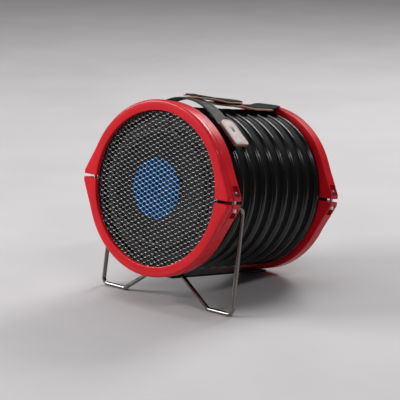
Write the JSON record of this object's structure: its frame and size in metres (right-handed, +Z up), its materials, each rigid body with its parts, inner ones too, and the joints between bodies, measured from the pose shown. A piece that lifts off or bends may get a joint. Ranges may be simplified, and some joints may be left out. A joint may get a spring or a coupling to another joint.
{
  "type": "guitar amplifier",
  "caption": "Compact round guitar amplifier: ribbed hose body between two split clamp rings, mesh grille, wire stand, carrying strap and rear controls.",
  "frame": {"origin": "on the floor, under the middle of the bounding box", "axes": "+Z up, +Y towards the rear controls, +X to the right of someone facing the grille; the grille faces -Y and is raised by 10 degrees"},
  "size_m": [0.221, 0.2522, 0.2395],
  "materials": {
    "red_clamp": "glossy red moulded plastic",
    "bright_screw": "bright zinc-plated steel",
    "dark_steel": "blackened steel",
    "grille_mesh": "expanded steel mesh, black gloss enamel",
    "black_foam": "open-cell foam",
    "birch_ply": "birch plywood",
    "basket_paint": "black powder coat",
    "gasket_card": "cork-filled card",
    "surround_cloth": "doped cloth",
    "cone_paper": "dark pressed paper",
    "coil_copper": "enamelled copper winding",
    "spider_cloth": "resin-treated cloth",
    "zinc_steel": "zinc-plated steel",
    "ferrite": "ferrite",
    "tag_brass": "tinned brass",
    "hose_wall": "coated cloth hose wall, matt black",
    "hose_rib": "smooth semi-gloss black rib",
    "webbing": "ribbed black webbing",
    "rose_leather": "thick rose-brown leather",
    "tan_leather": "copper-brown leather",
    "black_pad": "black hook-and-loop pad",
    "rivet_copper": "copper rivets",
    "polished_wire": "polished stainless steel wire",
    "panel_black": "fine-textured black plastic",
    "plate_black": "satin black anodised plate",
    "knob_black": "satin black plastic",
    "nickel": "nickel plate",
    "led_red": "tinted clear plastic",
    "board_green": "solder-masked circuit board",
    "sink_alu": "extruded aluminium",
    "lead_red": "insulated lead"
  },
  "bodies": {
    "body": {"front_clamp_upper": "red_clamp", "front_clamp_lower": "red_clamp", "rear_clamp_upper": "red_clamp", "rear_clamp_lower": "red_clamp", "front_clamp_screws": "bright_screw", "rear_clamp_screws": "bright_screw", "front_clamp_nuts": "dark_steel", "rear_clamp_nuts": "dark_steel", "grille": "grille_mesh", "grille_spacer": "black_foam", "front_baffle": "birch_ply", "speaker_basket": "basket_paint", "speaker_screws": "dark_steel", "speaker_gasket": "gasket_card", "surround": "surround_cloth", "spider": "spider_cloth", "top_plate": "zinc_steel", "magnet": "ferrite", "back_plate": "zinc_steel", "speaker_terminals": "tag_brass", "hose": "hose_wall", "hose_ribs": "hose_rib", "webbing_strap": "webbing", "strap_tabs": "rose_leather", "strap_screws": "dark_steel", "leather_front": "tan_leather", "leather_rear": "tan_leather", "pad_front": "black_pad", "pad_rear": "black_pad", "strap_rivets": "rivet_copper", "bottom_strap": "webbing", "stand_wire": "polished_wire", "rear_panel": "panel_black", "rear_panel_screws": "dark_steel", "tie_rods": "zinc_steel", "control_plate": "plate_black", "control_plate_screws": "dark_steel", "potentiometers": "zinc_steel", "panel_nuts": "nickel", "input_jack": "panel_black", "headphone_jack": "panel_black", "power_switch_body": "panel_black", "power_inlet": "panel_black", "led_lens": "led_red", "circuit_board": "board_green", "board_standoffs": "nickel", "heat_sink": "sink_alu", "speaker_wires": "lead_red"},
    "speaker_cone": {"cone": "cone_paper", "dust_cap": "cone_paper", "voice_coil": "coil_copper"},
    "rocker": {"power_rocker": "knob_black"},
    "knob_gain_body": {"knob_gain": "knob_black", "shaft_gain": "nickel"},
    "knob_bass_body": {"knob_bass": "knob_black", "shaft_bass": "nickel"},
    "knob_treble_body": {"knob_treble": "knob_black", "shaft_treble": "nickel"},
    "knob_volume_body": {"knob_volume": "knob_black", "shaft_volume": "nickel"}
  },
  "joints": [
    {"name": "cone_travel", "type": "slide", "parent": "body", "child": "speaker_cone", "axis": [0, 0.9848, -0.1736], "range_m": [-0.0025, 0.0025], "stiffness_N_per_m": 2500, "deforming": ["surround", "spider"]},
    {"name": "gain_turn", "type": "hinge", "parent": "body", "child": "knob_gain_body", "pos_m": [0.048, 0.10092, 0.11424], "axis": [0, 0.9848, -0.1736], "range_deg": [-150, 150]},
    {"name": "bass_turn", "type": "hinge", "parent": "body", "child": "knob_bass_body", "pos_m": [0.016, 0.10092, 0.11424], "axis": [0, 0.9848, -0.1736], "range_deg": [-150, 150]},
    {"name": "treble_turn", "type": "hinge", "parent": "body", "child": "knob_treble_body", "pos_m": [-0.016, 0.10092, 0.11424], "axis": [0, 0.9848, -0.1736], "range_deg": [-150, 150]},
    {"name": "volume_turn", "type": "hinge", "parent": "body", "child": "knob_volume_body", "pos_m": [-0.048, 0.10092, 0.11424], "axis": [0, 0.9848, -0.1736], "range_deg": [-150, 150]},
    {"name": "power_rock", "type": "hinge", "parent": "body", "child": "rocker", "pos_m": [0.02, 0.09539, 0.08983], "axis": [1, 0, 0], "range_deg": [0, 16]}
  ]
}
